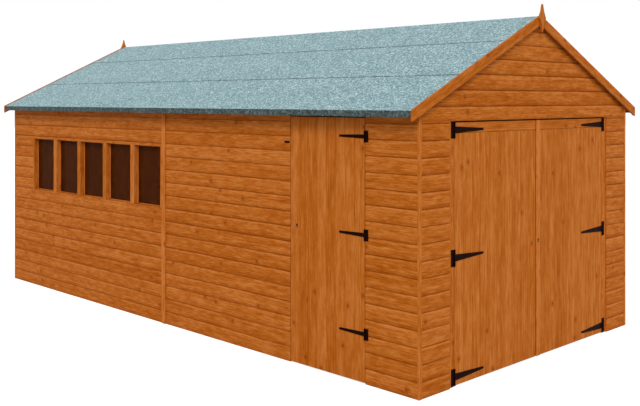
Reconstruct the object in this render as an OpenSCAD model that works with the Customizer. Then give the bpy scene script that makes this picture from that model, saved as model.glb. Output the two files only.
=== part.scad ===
// Timber garage: shiplap panels on battens, apex felt roof, double front doors
// and a single side door. Millimetres, +Z up, front doors facing -Y.
// The origin is at the centre of the plan, on the ground.

/* [Overall] */
// Width over the side walls' cladding
garage_width = 2990; // [2600:10:3400]
// Length over the end walls' cladding
garage_length = 6030; // [5400:10:7200]
// Height of a side wall at its outer face
eaves_height = 2035; // [2030:5:2300]
// Slope of the roof in degrees
roof_pitch = 25; // [20:1:32]

/* [Walls] */
// Thickness of the shiplap cladding
cladding_t = 12; // [9:1:20]
// Depth of the wall battens behind the cladding
frame_depth = 45; // [35:1:60]
// Width of a wall batten
batten_w = 45; // [35:1:60]
// Widest spacing of the studs
stud_pitch = 560; // [400:10:600]
// Width of the strips that cover the corners, on the end walls
corner_strip_w = 30; // [22:1:45]
// How far the corner strips stand proud of the cladding
corner_proud = 3; // [1:1:6]
// Distance from the front face to the joint of the side panels
joint_from_front = 3035; // [2700:5:3100]
// Width of the cover strip over a panel joint
joint_strip_w = 55; // [40:1:70]
// Thickness of that cover strip
joint_strip_t = 12; // [8:1:16]

/* [Windows] */
// Number of windows in the row
window_count = 5; // [1:1:5]
// Clear width of one window
window_width = 440; // [360:5:460]
// Clear height of one window
window_height = 570; // [440:5:600]
// Height of the sill above the ground
window_sill = 1070; // [900:5:1100]
// Width of the mullion between two windows
mullion_w = 65; // [45:1:75]
// Distance from the panel joint to the first window
window_from_joint = 60; // [60:1:100]
// Visible border at the ends of the row
window_end_border = 30; // [20:1:32]
// Visible border above and below the row
window_border = 15; // [10:1:25]
// How far the window frame stands proud of the cladding
window_proud = 2; // [0:1:5]
// Thickness of a pane
pane_t = 3; // [2:1:6]
// Distance of the pane from the cladding's outer face
pane_depth = 48; // [20:1:50]

/* [Doors] */
// Gap between a door and what it closes against
door_gap = 6; // [6:1:10]
// Height of the doors' lower edges above the ground
door_ground_gap = 8; // [6:1:20]
// Thickness of the door boards
door_board_t = 12; // [10:1:20]
// Thickness of the ledges and braces behind them
ledge_t = 28; // [20:1:30]
// Width of a ledge or a brace
ledge_w = 95; // [70:1:120]
// How far a ledge stops short of the board edges
ledge_inset = 20; // [15:1:40]
// Distance from the front face to the side doorway
side_door_from_front = 502; // [440:1:700]
// Width of the side doorway
side_doorway_w = 806; // [700:1:900]
// Height of the side doorway
side_doorway_h = 1956; // [1700:1:1956]
// Gap above the side door
side_head_gap = 12; // [8:1:24]
// Width of the front cladding on each side of the doors
front_cladding_w = 350; // [260:1:500]
// Bare width of each door post
post_face_w = 62; // [55:1:90]
// Height of the front doorway
front_doorway_h = 1922; // [1700:1:1930]
// Gap above the front doors
front_head_gap = 10; // [8:1:20]
// Gap between the two front leaves
meeting_gap = 7; // [7:1:12]
// Height of the rail across the top of a front leaf
top_rail_h = 77; // [60:1:110]
// Groove between that rail and the boards
rail_groove = 2; // [1:1:4]
// Width of the strip on the right leaf's closing edge
meeting_strip_w = 52; // [40:1:90]
// Thickness of that strip
meeting_strip_t = 8; // [6:1:10]

/* [Ironmongery] */
// Length of a front strap from the hinge pin
front_strap_len = 360; // [300:5:450]
// Height of a front strap where it leaves the pin
front_strap_root = 50; // [40:1:60]
// Height of a front hinge plate
front_plate_h = 122; // [100:1:140]
// Width of a front hinge plate from the pin
front_plate_w = 38; // [35:1:52]
// Length of a side strap from the hinge pin
side_strap_len = 260; // [200:5:320]
// Height of a side strap where it leaves the pin
side_strap_root = 30; // [24:1:40]
// Height of a side hinge plate
side_plate_h = 84; // [70:1:100]
// Width of a side hinge plate from the pin
side_plate_w = 33; // [28:1:45]
// Height of a strap at its tip
strap_tip = 16; // [10:1:20]
// Thickness of straps and hinge plates
iron_t = 4; // [3:0.5:5]
// Outer radius of a hinge knuckle
knuckle_r = 6; // [5:0.5:8]
// Radius of a hinge pin
pin_r = 3; // [2:0.5:3.5]
// Radial clearance of a pin in its strap
pin_clearance = 0.06; // [0.03:0.01:0.1]
// Gap between two knuckles along the pin
knuckle_gap = 1; // [0.5:0.5:2]
// Height of the side door's lock
side_lock_z = 1088; // [900:1:1200]
// Height of the front doors' lock
front_lock_z = 941; // [800:1:1100]
// Height of the turn button beside the side door
button_z = 1742; // [1600:1:1850]
// Length of the turn button
button_len = 60; // [50:1:80]

/* [Roof] */
// Thickness of the roof boards
deck_t = 12; // [10:1:18]
// How far the roof boards pass the side walls
eaves_overhang = 105; // [80:1:120]
// How far the roof boards pass the end walls
verge_overhang = 22; // [18:1:40]
// Lowest point of the eaves battens
eaves_drop = 1960; // [1945:1:1965]
// Width of an eaves batten
eaves_batten_w = 28; // [20:1:45]
// Thickness of the felt
felt_t = 3; // [2:0.5:5]
// How far one strip of felt laps the next
felt_lap = 75; // [50:5:100]
// Distance along the slope from the eaves to the first lap
felt_lap_1 = 600; // [500:5:700]
// Distance along the slope from the eaves to the second lap
felt_lap_2 = 1245; // [1150:5:1300]
// Width of the bargeboards
barge_w = 72; // [60:1:80]
// Thickness of the bargeboards
barge_t = 18; // [14:1:22]
// How far the bargeboards stand above the roof boards
barge_rise = 11; // [9:1:16]
// How far the bargeboards pass the side walls
barge_reach = 115; // [110:1:130]
// Height of the finial's tip above the ridge of the bargeboards
finial_above = 87; // [60:1:140]
// Depth of the finial's point below that ridge
finial_below = 137; // [100:1:180]
// Width of the finial
finial_w = 90; // [70:1:120]
// Depth of the rafters and of the tie beam
rafter_d = 70; // [60:1:90]
// Depth of the ridge beam
ridge_beam_d = 95; // [80:1:110]
// Distance along the slope from the ridge to the upper purlins
purlin_1 = 560; // [450:5:620]
// Distance along the slope from the ridge to the lower purlins
purlin_2 = 1110; // [950:5:1150]

/* [Hidden] */
$fn = 48;

wood = "#b8672c";
wood_inside = "#c99a62";
felt = "#9bb6ba";
iron = "#17130f";
glass = "#4a2c18";

// Gap where sloping faces lie on each other
seat_gap = 0.1;

// Walls
half_w = garage_width / 2;
half_l = garage_length / 2;
slope = tan(roof_pitch);
frame_back = cladding_t + frame_depth;
inner_half_w = half_w - frame_back;
inner_half_l = half_l - frame_back;
ridge_under = eaves_height + half_w * slope;
corner_end = corner_strip_w - corner_proud;
// Height of the walls' and beams' sloping tops at a distance from the ridge line
function roof_under(x) = ridge_under - abs(x) * slope;
// Height of those tops at a depth behind a side wall's outer face
function under_at(depth) = eaves_height + depth * slope;
wall_plate = eaves_height - batten_w + cladding_t * slope;

// Windows
window_row = window_count * window_width + (window_count - 1) * mullion_w;
row_start = joint_from_front + window_from_joint;
row_end = row_start + window_row;
frame_start = row_start - window_end_border;
frame_end = row_end + window_end_border;
frame_bottom = window_sill - window_border;
frame_top = window_sill + window_height + window_border;

// Doors
side_door_end = side_door_from_front + side_doorway_w;
side_leaf_w = side_doorway_w - 2 * door_gap;
side_leaf_h = side_doorway_h - side_head_gap - door_ground_gap;
front_opening = garage_width - 2 * (front_cladding_w + post_face_w);
leaf_w = (front_opening - 2 * door_gap - meeting_gap) / 2;
leaf_h = front_doorway_h - front_head_gap - door_ground_gap;
leaf_depth = cladding_t;
post_back_w = 30;
low_ledge_z = 150;
brace_gap = 0.5;
brace_foot = 150;
front_axis_x = front_opening / 2 - door_gap / 2;
front_axis_y = -half_l + leaf_depth - knuckle_r;
side_axis_x = -half_w - knuckle_r;
side_axis_y = -half_l + side_door_from_front + door_gap / 2;
plate_head_gap = 3;
front_middle_hinge_z = 931;
front_hinge_zs = [door_ground_gap + front_plate_h / 2, front_middle_hinge_z,
    front_doorway_h - plate_head_gap - front_plate_h / 2];
side_hinge_zs = [364, 1088, 1808];

// Turn button
button_w = 16;
button_stand_off = 5;
button_t = 4;
button_screw_r = 2.5;
button_short_end = 15;
button_from_doorway = 17;
button_head_r = 5;
button_head_t = 2;

// Locks
lock_plate_w = 15;
lock_plate_h = 26;
lock_plate_t = 2;
side_lock_from_edge = 72;
front_lock_from_edge = 22;

// Roof
deck_v = deck_t / cos(roof_pitch);
felt_v = felt_t / cos(roof_pitch);
deck_under = ridge_under + seat_gap;
ridge_top = deck_under + deck_v;
eaves_x = half_w + eaves_overhang;
verge_y = half_l + verge_overhang;
// Height of the top of the roof boards at a distance from the ridge line
function deck_top(x) = ridge_top - abs(x) * slope;
// Height of the underside of a layer of felt, counted from 0
function felt_base(x, layer = 0) = deck_top(x) + seat_gap + layer * (felt_v + seat_gap);
// Distance from the ridge line at a distance up the slope from the eaves
function felt_x(along) = eaves_x - along * cos(roof_pitch);
barge_ridge = ridge_top + barge_rise;
barge_v = barge_w / cos(roof_pitch);
barge_end_x = half_w + barge_reach;
mitre_gap = 0.5;
rafter_top_drop = batten_w / cos(roof_pitch) + seat_gap;
rafter_v = rafter_d / cos(roof_pitch);
tie_top = eaves_height - 3;
tie_bottom = tie_top - rafter_d;
truss_y = -half_l + joint_from_front;
ridge_beam_bottom = roof_under(batten_w / 2) - ridge_beam_d;
felt_drip = eaves_drop - 5;

// A box on the left wall: depth behind the outer face, distance from the front face, height
module side_box(d0, d1, v0, v1, z0, z1) {
    translate([-half_w + d0, -half_l + v0, z0]) cube([d1 - d0, v1 - v0, z1 - z0]);
}

// A box on the front wall: depth behind the outer face, x, height
module front_box(d0, d1, x0, x1, z0, z1) {
    translate([x0, -half_l + d0, z0]) cube([x1 - x0, d1 - d0, z1 - z0]);
}

// An outline of x and z points, carried along Y
module along_y(y0, y1) {
    translate([0, y1, 0]) rotate([90, 0, 0]) linear_extrude(y1 - y0) children();
}

// An outline of depth and z points on the left wall, carried along it
module along_side(v0, v1) {
    translate([-half_w, 0, 0]) along_y(-half_l + v0, -half_l + v1) children();
}

module on_right() {
    mirror([1, 0, 0]) children();
}

module both_sides() {
    children();
    on_right() children();
}

module front_and_rear() {
    children();
    mirror([0, 1, 0]) children();
}

// Cladding of a side wall between two distances, its top bevelled under the roof boards
module side_cladding(v0, v1, z0 = 0) {
    along_side(v0, v1)
        polygon([[0, z0], [cladding_t, z0], [cladding_t, under_at(cladding_t)], [0, eaves_height]]);
}

// Top plate of a side wall, bevelled under the roof boards
module top_plate(v0, v1, z0 = wall_plate) {
    along_side(v0, v1)
        polygon([[cladding_t, z0], [frame_back, z0], [frame_back, under_at(frame_back)],
            [cladding_t, under_at(cladding_t)]]);
}

// Studs evenly spaced between two end studs, with a bottom rail, middle rail and top plate
module side_frame(v0, v1, mid_z = 960) {
    bays = ceil((v1 - v0 - batten_w) / stud_pitch);
    pitch = (v1 - v0 - batten_w) / bays;
    for (i = [0 : bays])
        side_box(cladding_t, frame_back, v0 + i * pitch, v0 + i * pitch + batten_w, 0, wall_plate + 1);
    for (z = [0, mid_z])
        side_box(cladding_t, frame_back, v0, v1, z, z + batten_w);
    top_plate(v0, v1);
}

module left_rear_cladding() {
    color(wood) difference() {
        side_cladding(joint_from_front, garage_length - cladding_t);
        side_box(-1, cladding_t + 1, frame_start, frame_end, frame_bottom, frame_top);
    }
}

module left_front_cladding() {
    color(wood) {
        side_cladding(cladding_t, side_door_from_front);
        side_cladding(side_door_end, joint_from_front);
    }
}

module left_door_head_cladding() {
    color(wood) side_cladding(side_door_from_front, side_door_end, side_doorway_h);
}

module right_rear_cladding() {
    color(wood) on_right() side_cladding(joint_from_front, garage_length - cladding_t);
}

module right_front_cladding() {
    color(wood) on_right() side_cladding(cladding_t, joint_from_front);
}

module front_side_cladding() {
    color(wood) both_sides()
        front_box(0, cladding_t, -half_w + corner_end, -half_w + front_cladding_w, 0, front_doorway_h);
}

// Outline of an end wall from a height up to the roof boards
module end_outline(reach, z0) {
    polygon([[-reach, z0], [reach, z0], [reach, roof_under(reach)], [0, ridge_under],
        [-reach, roof_under(reach)]]);
}

module front_gable_cladding() {
    color(wood) along_y(-half_l, -half_l + cladding_t) end_outline(half_w - corner_end, front_doorway_h);
}

module rear_cladding() {
    color(wood) along_y(half_l - cladding_t, half_l) end_outline(half_w - corner_end, 0);
}

// Frame of the window panel: studs below and above the window row
module left_rear_frame() {
    end = garage_length - frame_back;
    color(wood_inside) {
        side_box(cladding_t, frame_back, joint_from_front, frame_start, 0, wall_plate + 1);
        side_box(cladding_t, frame_back, frame_end, frame_end + batten_w, 0, wall_plate + 1);
        side_box(cladding_t, frame_back, end - batten_w, end, 0, wall_plate + 1);
        for (i = [1 : window_count - 1]) {
            v = row_start + i * (window_width + mullion_w) - mullion_w / 2 - batten_w / 2;
            side_box(cladding_t, frame_back, v, v + batten_w, 0, frame_bottom);
            side_box(cladding_t, frame_back, v, v + batten_w, frame_top, wall_plate + 1);
        }
        side_box(cladding_t, frame_back, joint_from_front, end, 0, batten_w);
        side_box(cladding_t, frame_back, joint_from_front, end, frame_bottom - batten_w, frame_bottom);
        side_box(cladding_t, frame_back, joint_from_front, frame_end + batten_w, frame_top, frame_top + batten_w);
        top_plate(joint_from_front, end);
    }
}

module left_front_frame() {
    color(wood_inside) {
        side_frame(frame_back, side_door_from_front);
        side_frame(side_door_end, joint_from_front);
    }
}

module left_door_lintel() {
    color(wood_inside) top_plate(side_door_from_front, side_door_end, side_doorway_h);
}

module right_rear_frame() {
    color(wood_inside) on_right() side_frame(joint_from_front, garage_length - frame_back);
}

module right_front_frame() {
    color(wood_inside) on_right() side_frame(frame_back, joint_from_front);
}

// Frame beside the front doors: a corner stud, the door post and three rails
module front_corner_frame() {
    outer = -half_w + cladding_t;
    post = -half_w + front_cladding_w - post_back_w;
    post_end = -half_w + front_cladding_w + post_face_w;
    front_box(cladding_t, frame_back, outer, outer + batten_w, 0, front_doorway_h);
    front_box(cladding_t, frame_back, post, post_end, 0, front_doorway_h);
    for (z = [0, 960, front_doorway_h - batten_w])
        front_box(cladding_t, frame_back, outer, post + 1, z, z + batten_w);
}

module door_post_frames() {
    color(wood) both_sides() front_corner_frame();
}

// Upright battens of an end wall as an outline, from one height to the roof
module end_studs(z0, reach) {
    bays = ceil(2 * reach / stud_pitch);
    pitch = (2 * reach - batten_w) / bays;
    for (i = [0 : bays])
        translate([-reach + i * pitch, z0]) square([batten_w, ridge_under]);
}

// Sloping battens under the roof and a head rail between them, as an outline
module gable_rails(reach, z0) {
    rail_v = batten_w / cos(roof_pitch);
    difference() {
        end_outline(reach, z0);
        translate([0, -rail_v]) difference() {
            end_outline(reach + rail_v, z0);
            translate([-2 * reach, z0]) square([4 * reach, rail_v + rafter_d]);
        }
    }
}

module front_gable_frame() {
    color(wood) along_y(-half_l + cladding_t, -inner_half_l) {
        gable_rails(half_w - cladding_t, front_doorway_h);
        intersection() {
            end_outline(half_w - cladding_t, front_doorway_h);
            end_studs(front_doorway_h, half_w - cladding_t);
        }
    }
}

module rear_frame() {
    reach = half_w - cladding_t;
    color(wood_inside) along_y(inner_half_l, half_l - cladding_t) {
        gable_rails(reach, front_doorway_h);
        intersection() {
            end_outline(reach, 0);
            union() {
                end_studs(0, reach);
                for (z = [0, 960])
                    translate([-reach, z]) square([2 * reach, batten_w]);
            }
        }
    }
}

// Flat strip on the corner, over the end of the side wall's cladding
module corner_strip() {
    translate([-half_w - corner_proud, -half_l - corner_proud, 0])
        cube([corner_strip_w, corner_proud + cladding_t, eaves_height - corner_proud]);
}

module corner_strips() {
    color(wood) both_sides() front_and_rear() corner_strip();
}

module panel_joint_strips() {
    top = under_at(-joint_strip_t) - 2;
    color(wood) both_sides()
        side_box(-joint_strip_t, 0, joint_from_front - joint_strip_w / 2,
            joint_from_front + joint_strip_w / 2, 0, top);
}

module window_frame() {
    color(wood) difference() {
        side_box(-window_proud, frame_back, frame_start, frame_end, frame_bottom, frame_top);
        for (i = [0 : window_count - 1]) {
            v = row_start + i * (window_width + mullion_w);
            side_box(-window_proud - 1, frame_back + 1, v, v + window_width,
                window_sill, window_sill + window_height);
        }
    }
}

module window_panes() {
    color(glass) for (i = [0 : window_count - 1]) {
        v = row_start + i * (window_width + mullion_w);
        side_box(pane_depth, pane_depth + pane_t, v, v + window_width,
            window_sill, window_sill + window_height);
    }
}

// Roof boards of the right slope, plumb cut at the ridge and at the eaves
module roof_boards() {
    along_y(-verge_y, verge_y)
        polygon([[0, deck_under], [eaves_x, deck_top(eaves_x) - deck_v], [eaves_x, deck_top(eaves_x)],
            [0, ridge_top]]);
}

module left_roof_boards() {
    color(wood_inside) on_right() roof_boards();
}

module right_roof_boards() {
    color(wood_inside) roof_boards();
}

module roof_purlins() {
    color(wood_inside) both_sides() for (along = [purlin_1, purlin_2])
        translate([0, 0, ridge_under]) rotate([0, roof_pitch, 0])
            translate([along - batten_w / 2, -inner_half_l, -batten_w])
                cube([batten_w, 2 * inner_half_l, batten_w]);
}

module ridge_beam() {
    side = batten_w / 2;
    color(wood_inside) along_y(-inner_half_l, inner_half_l)
        polygon([[-side, ridge_beam_bottom], [side, ridge_beam_bottom], [side, roof_under(side)],
            [0, ridge_under], [-side, roof_under(side)]]);
}

module truss_tie_beam() {
    color(wood_inside) translate([-inner_half_w, truss_y - batten_w / 2, tie_bottom])
        cube([2 * inner_half_w, batten_w, rafter_d]);
}

// One rafter: it stands on the tie beam, meets the ridge beam and carries the purlins
module rafter() {
    top_x = (ridge_under - rafter_top_drop - tie_top) / slope;
    bottom_x = (ridge_under - rafter_top_drop - rafter_v - tie_top) / slope;
    side = batten_w / 2;
    along_y(truss_y - side, truss_y + side)
        polygon([[side, roof_under(side) - rafter_top_drop], [top_x, tie_top], [bottom_x, tie_top],
            [side, roof_under(side) - rafter_top_drop - rafter_v]]);
}

module truss_rafters() {
    color(wood_inside) both_sides() rafter();
}

module eaves_battens() {
    inner = eaves_x - eaves_batten_w;
    color(wood) both_sides() along_y(-verge_y, verge_y)
        polygon([[inner, eaves_drop], [eaves_x, eaves_drop], [eaves_x, roof_under(eaves_x)],
            [inner, roof_under(inner)]]);
}

// Lowest strip of felt: flat on the boards, then turned down over the eaves batten
module felt_eaves_strip() {
    top = felt_x(felt_lap_1 + felt_lap);
    inner = eaves_x + seat_gap;
    outer = inner + felt_t;
    along_y(-verge_y, verge_y)
        polygon([[top, felt_base(top)], [inner, felt_base(inner)], [inner, felt_drip], [outer, felt_drip],
            [outer, felt_base(outer) + felt_v], [top, felt_base(top) + felt_v]]);
}

module felt_eaves_strips() {
    color(felt) both_sides() felt_eaves_strip();
}

// Middle strip: on the boards, then stepped up over the strip below
module felt_middle_strip() {
    top = felt_x(felt_lap_2 + felt_lap);
    step = felt_x(felt_lap_1 + felt_lap) - seat_gap;
    edge = felt_x(felt_lap_1);
    ramp = step - 2 * felt_t;
    flat_x = ramp - 2 * felt_t;
    along_y(-verge_y, verge_y)
        polygon([[top, felt_base(top)], [step, felt_base(step)], [step, felt_base(step, 1)],
            [edge, felt_base(edge, 1)], [edge, felt_base(edge, 1) + felt_v],
            [ramp, felt_base(ramp, 1) + felt_v], [flat_x, felt_base(flat_x) + felt_v],
            [top, felt_base(top) + felt_v]]);
}

module felt_middle_strips() {
    color(felt) both_sides() felt_middle_strip();
}

// Ridge strip: bent over the ridge and lapped onto both middle strips
module felt_ridge_strip() {
    step = felt_x(felt_lap_2 + felt_lap) - seat_gap;
    edge = felt_x(felt_lap_2);
    ramp = step - 2 * felt_t;
    flat_x = ramp - 2 * felt_t;
    half = [[step, felt_base(step)], [step, felt_base(step, 1)], [edge, felt_base(edge, 1)],
        [edge, felt_base(edge, 1) + felt_v], [ramp, felt_base(ramp, 1) + felt_v],
        [flat_x, felt_base(flat_x) + felt_v]];
    mirrored = [for (i = [len(half) - 1 : -1 : 0]) [-half[i][0], half[i][1]]];
    color(felt) along_y(-verge_y, verge_y)
        polygon(concat([[0, felt_base(0)]], half, [[0, felt_base(0) + felt_v]], mirrored));
}

// Bargeboard of the front right verge, plumb cut at both ends
module bargeboard() {
    along_y(-verge_y - barge_t, -verge_y)
        polygon([[mitre_gap, barge_ridge - mitre_gap * slope],
            [barge_end_x, barge_ridge - barge_end_x * slope],
            [barge_end_x, barge_ridge - barge_end_x * slope - barge_v],
            [mitre_gap, barge_ridge - mitre_gap * slope - barge_v]]);
}

module bargeboards() {
    color(wood) front_and_rear() both_sides() bargeboard();
}

// Kite-shaped finial with hollowed upper sides
module finial() {
    shoulder = finial_w / 2;
    waist = finial_w / 6;
    neck_z = finial_above / 3;
    along_y(-verge_y - 2 * barge_t, -verge_y - barge_t) translate([0, barge_ridge])
        polygon([[-1, finial_above], [1, finial_above], [waist, neck_z], [shoulder, -finial_above / 3],
            [waist, -finial_below * 0.6], [1, -finial_below], [-1, -finial_below],
            [-waist, -finial_below * 0.6], [-shoulder, -finial_above / 3], [-waist, neck_z]]);
}

module finials() {
    color(wood) front_and_rear() finial();
}

// Ledges and braces of a door as outlines of width and height, with a clear gap where they meet
module ledge_outlines(width, height) {
    inner_w = width - 2 * ledge_inset;
    mid = height / 2 - ledge_w / 2;
    top = height - ledge_inset - ledge_w;
    translate([ledge_inset, 0]) {
        for (z = [low_ledge_z, mid, top]) translate([0, z]) square([inner_w, ledge_w]);
        for (zs = [[low_ledge_z, mid], [mid, top]]) {
            foot = zs[0] + ledge_w + brace_gap;
            head = zs[1] - brace_gap;
            polygon([[0, foot], [brace_foot, foot], [inner_w, head], [inner_w - brace_foot, head]]);
        }
    }
}

module side_door_boards() {
    v = side_door_from_front + door_gap;
    color(wood) side_box(0, door_board_t, v, v + side_leaf_w, door_ground_gap, door_ground_gap + side_leaf_h);
}

module side_door_ledges() {
    color(wood_inside)
        translate([-half_w + door_board_t, -half_l + side_door_from_front + door_gap, door_ground_gap])
            rotate([90, 0, 90]) linear_extrude(ledge_t) ledge_outlines(side_leaf_w, side_leaf_h);
}

// Boards and top rail of a front leaf; x runs from the hinge edge
module leaf_boards() {
    boards_top = leaf_h - top_rail_h - rail_groove;
    cube([leaf_w, door_board_t, boards_top]);
    translate([0, 0, leaf_h - top_rail_h]) cube([leaf_w, door_board_t, top_rail_h]);
}

// Places a left leaf's pieces at its hinge edge, on the face of the door posts
module at_left_leaf() {
    translate([-front_opening / 2 + door_gap, -half_l + leaf_depth, door_ground_gap]) children();
}

module leaf_ledges() {
    translate([0, door_board_t + ledge_t, 0]) rotate([90, 0, 0]) linear_extrude(ledge_t)
        ledge_outlines(leaf_w, leaf_h);
}

module left_leaf_boards() {
    color(wood) at_left_leaf() leaf_boards();
}

module right_leaf_boards() {
    color(wood) on_right() at_left_leaf() leaf_boards();
}

module left_leaf_ledges() {
    color(wood_inside) at_left_leaf() leaf_ledges();
}

module right_leaf_ledges() {
    color(wood_inside) on_right() at_left_leaf() leaf_ledges();
}

module meeting_strip() {
    color(wood) translate([meeting_gap / 2, -half_l + leaf_depth - meeting_strip_t, door_ground_gap])
        cube([meeting_strip_w, meeting_strip_t, leaf_h]);
}

// Strap of a tee hinge: pin on the Z axis, door face at y = knuckle_r, strap towards +X
module tee_strap(strap_len, root) {
    face = knuckle_r;
    difference() {
        union() {
            translate([0, face - iron_t / 2, 0]) rotate([90, 0, 0]) translate([0, 0, -iron_t / 2])
                linear_extrude(iron_t) union() {
                    polygon([[0, -root / 2], [knuckle_r * 2, -root / 2], [strap_len - strap_tip / 2, -strap_tip / 2],
                        [strap_len - strap_tip / 2, strap_tip / 2], [knuckle_r * 2, root / 2], [0, root / 2]]);
                    translate([strap_len - strap_tip / 2, 0]) circle(d = strap_tip);
                }
            translate([0, 0, -root / 2]) cylinder(r = knuckle_r, h = root);
        }
        translate([0, 0, -root]) cylinder(r = pin_r + pin_clearance, h = 2 * root);
    }
}

// Plate of a tee hinge with its two knuckles and its pin; the plate lies towards -X
module tee_plate(plate_h, plate_w, root) {
    face = knuckle_r;
    knuckle_h = (plate_h - root) / 2 - knuckle_gap;
    clear = knuckle_r + knuckle_gap;
    translate([-plate_w, face - iron_t, -plate_h / 2]) cube([plate_w - clear, iron_t, plate_h]);
    for (z = [-plate_h / 2, plate_h / 2 - knuckle_h]) {
        translate([0, 0, z]) cylinder(r = knuckle_r, h = knuckle_h);
        translate([-clear - 1, face - iron_t, z]) cube([clear + 1, iron_t, knuckle_h]);
    }
    translate([0, 0, -plate_h / 2]) cylinder(r = pin_r, h = plate_h);
}

module at_front_hinges() {
    for (z = front_hinge_zs) translate([-front_axis_x, front_axis_y, z]) children();
}

module at_side_hinges() {
    for (z = side_hinge_zs) translate([side_axis_x, side_axis_y, z]) rotate([0, 0, 90]) mirror([0, 1, 0]) children();
}

module left_leaf_straps() {
    color(iron) at_front_hinges() tee_strap(front_strap_len, front_strap_root);
}

module right_leaf_straps() {
    color(iron) on_right() at_front_hinges() tee_strap(front_strap_len, front_strap_root);
}

module front_hinge_plates() {
    color(iron) both_sides() at_front_hinges() tee_plate(front_plate_h, front_plate_w, front_strap_root);
}

module side_door_straps() {
    color(iron) at_side_hinges() tee_strap(side_strap_len, side_strap_root);
}

module side_hinge_plates() {
    color(iron) at_side_hinges() tee_plate(side_plate_h, side_plate_w, side_strap_root);
}

module side_door_lock() {
    v = side_door_end - door_gap - side_lock_from_edge;
    color(iron) side_box(-lock_plate_t, 0, v - lock_plate_w / 2, v + lock_plate_w / 2,
        side_lock_z - lock_plate_h / 2, side_lock_z + lock_plate_h / 2);
}

module front_door_lock() {
    x = meeting_gap / 2 + front_lock_from_edge;
    d = leaf_depth - meeting_strip_t;
    color(iron) front_box(d - lock_plate_t, d, x - lock_plate_w / 2, x + lock_plate_w / 2,
        front_lock_z - lock_plate_h / 2, front_lock_z + lock_plate_h / 2);
}

// Places a piece on the wall beside the side doorway; z runs out of the wall, x towards the rear
module at_button() {
    translate([-half_w, -half_l + side_door_end + button_from_doorway, button_z])
        rotate([90, 0, -90]) mirror([1, 0, 0]) children();
}

// Turn button on its screw, parked along the wall with its long arm away from the door
module turn_button() {
    ends = [-button_short_end + button_w / 2, button_len - button_short_end - button_w / 2];
    color(iron) at_button() {
        cylinder(r = button_screw_r, h = button_stand_off + button_t + button_head_t);
        translate([0, 0, button_stand_off]) {
            for (x = ends) translate([x, 0, 0]) cylinder(d = button_w, h = button_t);
            translate([ends[0], -button_w / 2, 0]) cube([ends[1] - ends[0], button_w, button_t]);
            cylinder(r = button_head_r, h = button_t + button_head_t);
        }
    }
}

left_rear_cladding();
left_front_cladding();
left_door_head_cladding();
right_rear_cladding();
right_front_cladding();
front_side_cladding();
front_gable_cladding();
rear_cladding();
left_rear_frame();
left_front_frame();
left_door_lintel();
right_rear_frame();
right_front_frame();
door_post_frames();
front_gable_frame();
rear_frame();
corner_strips();
panel_joint_strips();
window_frame();
window_panes();
left_roof_boards();
right_roof_boards();
roof_purlins();
ridge_beam();
truss_tie_beam();
truss_rafters();
eaves_battens();
felt_eaves_strips();
felt_middle_strips();
felt_ridge_strip();
bargeboards();
finials();
side_door_boards();
side_door_ledges();
side_door_straps();
side_door_lock();
side_hinge_plates();
turn_button();
left_leaf_boards();
left_leaf_ledges();
left_leaf_straps();
right_leaf_boards();
right_leaf_ledges();
right_leaf_straps();
meeting_strip();
front_door_lock();
front_hinge_plates();
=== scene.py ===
import math
import random

import bmesh
import bpy
from mathutils import Matrix, Vector, noise


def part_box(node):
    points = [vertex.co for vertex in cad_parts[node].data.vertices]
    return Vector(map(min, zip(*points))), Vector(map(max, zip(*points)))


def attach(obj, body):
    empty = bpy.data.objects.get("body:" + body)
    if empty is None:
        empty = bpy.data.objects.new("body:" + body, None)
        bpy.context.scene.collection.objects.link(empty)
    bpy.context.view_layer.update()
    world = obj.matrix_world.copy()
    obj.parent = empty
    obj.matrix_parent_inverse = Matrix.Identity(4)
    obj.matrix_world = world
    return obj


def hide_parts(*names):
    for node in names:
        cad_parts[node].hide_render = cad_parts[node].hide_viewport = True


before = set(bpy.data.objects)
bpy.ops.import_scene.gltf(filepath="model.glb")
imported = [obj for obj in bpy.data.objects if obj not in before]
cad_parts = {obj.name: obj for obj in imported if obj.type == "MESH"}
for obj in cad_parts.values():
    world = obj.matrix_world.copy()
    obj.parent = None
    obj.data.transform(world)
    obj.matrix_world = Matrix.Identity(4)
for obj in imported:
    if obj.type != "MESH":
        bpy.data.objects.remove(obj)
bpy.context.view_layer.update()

random.seed(20)

MM = 0.001
UP = Vector((0, 0, 1))
ALONG_X = Vector((1, 0, 0))
ALONG_Y = Vector((0, 1, 0))


# ---------------------------------------------------------------- sizes from the frame

def low(node):
    """The lowest corner of a node's box."""
    return Vector(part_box(node)[0])


def high(node):
    """The highest corner of a node's box."""
    return Vector(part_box(node)[1])


def inner_x(node):
    """How near a node on both sides of the building comes to its middle."""
    return min(v.co.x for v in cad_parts[node].data.vertices if v.co.x > 0)


half_w = -low("left_rear_cladding").x
half_l = -low("front_gable_cladding").y
cladding_t = high("left_rear_cladding").x - low("left_rear_cladding").x
frame_back = half_w + high("left_front_frame").x
joint_y = low("left_rear_cladding").y
deck_low, deck_high = low("right_roof_boards"), high("right_roof_boards")
PITCH = math.radians(25)
slope = math.tan(PITCH)
deck_t = (deck_high.z - deck_low.z - deck_high.x * slope) * math.cos(PITCH)
ridge_under = deck_high.z - deck_t / math.cos(PITCH)
RIGHT_DOWN = Vector((math.cos(PITCH), 0, -math.sin(PITCH)))
RIGHT_OUT = Vector((math.sin(PITCH), 0, math.cos(PITCH)))

# Shiplap: the height that a course covers, the scoop at its head, the flat below the scoop that takes a
# painted highlight, and the foot that takes painted shade
COVER = 119.5 * MM
SCOOP_H = 14 * MM
SCOOP_D = 5 * MM
PAINTED_HIGHLIGHT_H = 14 * MM
PAINTED_FOOT_SHADE_H = 32 * MM

# Sawn edges are eased by this much
EDGE = 0.8 * MM

# Matchboards: how many a door takes, and the V at each joint
SIDE_DOOR_BOARDS = 8
LEAF_BOARDS = 10
DOOR_V = 2.2 * MM
ROOF_V = 1.2 * MM
ROOF_BOARD_W = 112 * MM

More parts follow.
